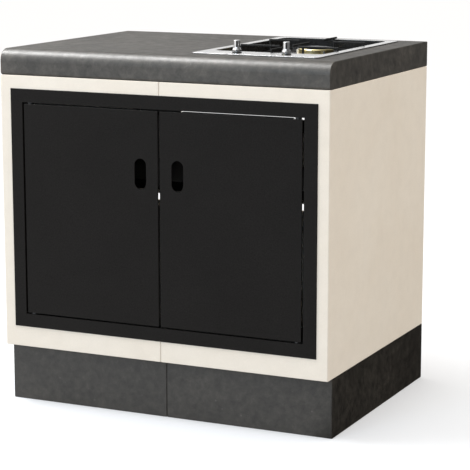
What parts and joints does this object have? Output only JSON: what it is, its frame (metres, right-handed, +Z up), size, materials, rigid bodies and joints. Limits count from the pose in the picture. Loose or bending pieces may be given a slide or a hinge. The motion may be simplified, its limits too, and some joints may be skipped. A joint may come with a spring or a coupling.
{
  "type": "outdoor kitchen burner module",
  "caption": "Free-standing stone cabinet with a dark worktop, a drop-in gas hob with knobs and pan support, and hinged steel doors over a shelved storage space.",
  "frame": {"origin": "on the floor under the middle of the bounding box", "axes": "+X to the right seen from the front, +Y to the back, +Z up"},
  "size_m": [0.9, 0.678, 0.948],
  "materials": {
    "cream_stone": "fine cast stone, matt",
    "dark_stone": "dark cast stone, honed",
    "black_steel": "black powder coat, matt",
    "zinc_steel": "zinc plated steel",
    "brass": "machined brass",
    "aluminium": "cast aluminium",
    "black_enamel": "black enamel, glossy",
    "chrome": "satin chrome",
    "black_plastic": "matt black",
    "black_rubber": "black rubber",
    "stainless": "brushed stainless",
    "magnet": "ferrite magnet",
    "white_ceramic": "glazed ceramic",
    "cast_iron": "black enamelled steel"
  },
  "bodies": {
    "cabinet": {"carcass_left": "cream_stone", "carcass_right": "cream_stone", "back_panel_lower": "cream_stone", "back_panel_upper": "cream_stone", "plinth_left": "dark_stone", "plinth_right": "dark_stone", "countertop": "dark_stone", "door_frame": "black_steel", "catch_bracket": "black_steel", "shelf": "black_steel", "shelf_brackets": "black_steel", "carcass_ties": "zinc_steel", "carcass_bolts": "zinc_steel", "back_panel_screws": "zinc_steel", "frame_screws": "zinc_steel", "hinge_pins": "zinc_steel", "hob_clamps": "zinc_steel", "hob_clamp_screws": "zinc_steel", "hob_base_box": "zinc_steel", "gas_manifold": "zinc_steel", "left_valve_spring": "zinc_steel", "right_valve_spring": "zinc_steel", "thermocouples": "zinc_steel", "front_injector": "brass", "rear_injector": "brass", "gas_inlet_elbow": "brass", "left_valve_body": "brass", "right_valve_body": "brass", "front_gas_tube": "aluminium", "rear_gas_tube": "aluminium", "front_burner_cup": "aluminium", "rear_burner_cup": "aluminium", "burner_tray": "black_enamel", "knob_bezels": "black_plastic", "hose_grommet": "black_rubber", "hob_gasket": "black_rubber", "hob_plate": "stainless", "catch_magnets": "magnet", "electrodes": "white_ceramic"},
    "left_door": {"left_door": "black_steel", "left_door_bushes": "brass", "left_strike": "zinc_steel"},
    "right_door": {"right_door": "black_steel", "right_door_bushes": "brass", "right_strike": "zinc_steel"},
    "left_push": {"left_stem_collar": "brass"},
    "right_push": {"right_stem_collar": "brass"},
    "left_tap": {"left_knob": "chrome", "left_pointer": "black_plastic", "left_valve_stem": "zinc_steel"},
    "right_tap": {"right_knob": "chrome", "right_pointer": "black_plastic", "right_valve_stem": "zinc_steel"},
    "front_ring": {"front_burner_ring": "brass"},
    "rear_ring": {"rear_burner_ring": "brass"},
    "front_cap": {"front_burner_cap": "black_enamel"},
    "rear_cap": {"rear_burner_cap": "black_enamel"},
    "pan_support": {"pan_support": "cast_iron", "pan_support_feet": "black_rubber"}
  },
  "joints": [
    {"name": "left_door_hinge", "type": "hinge", "parent": "cabinet", "child": "left_door", "pos_m": [-0.367, -0.328, 0.51], "axis": [0, 0, -1], "range_deg": [0, 110]},
    {"name": "right_door_hinge", "type": "hinge", "parent": "cabinet", "child": "right_door", "pos_m": [0.367, -0.328, 0.51], "axis": [0, 0, 1], "range_deg": [0, 110]},
    {"name": "left_knob_push", "type": "slide", "parent": "cabinet", "child": "left_push", "axis": [0, 0, -1], "range_m": [0, 0.003], "stiffness_N_per_m": 800, "springref_m": -0.003, "deforming": ["left_valve_spring"]},
    {"name": "left_knob_turn", "type": "hinge", "parent": "left_push", "child": "left_tap", "pos_m": [0.15, -0.208, 0.93], "axis": [0, 0, 1], "range_deg": [0, 210]},
    {"name": "right_knob_push", "type": "slide", "parent": "cabinet", "child": "right_push", "axis": [0, 0, -1], "range_m": [0, 0.003], "stiffness_N_per_m": 800, "springref_m": -0.003, "deforming": ["right_valve_spring"]},
    {"name": "right_knob_turn", "type": "hinge", "parent": "right_push", "child": "right_tap", "pos_m": [0.282, -0.208, 0.93], "axis": [0, 0, 1], "range_deg": [0, 210]},
    {"name": "front_ring_lift", "type": "slide", "parent": "cabinet", "child": "front_ring", "axis": [0, 0, 1], "range_m": [0, 0.1]},
    {"name": "front_cap_lift", "type": "slide", "parent": "front_ring", "child": "front_cap", "axis": [0, 0, 1], "range_m": [0, 0.1]},
    {"name": "rear_ring_lift", "type": "slide", "parent": "cabinet", "child": "rear_ring", "axis": [0, 0, 1], "range_m": [0, 0.1]},
    {"name": "rear_cap_lift", "type": "slide", "parent": "rear_ring", "child": "rear_cap", "axis": [0, 0, 1], "range_m": [0, 0.1]},
    {"name": "pan_support_lift", "type": "slide", "parent": "cabinet", "child": "pan_support", "axis": [0, 0, 1], "range_m": [0, 0.15]}
  ]
}
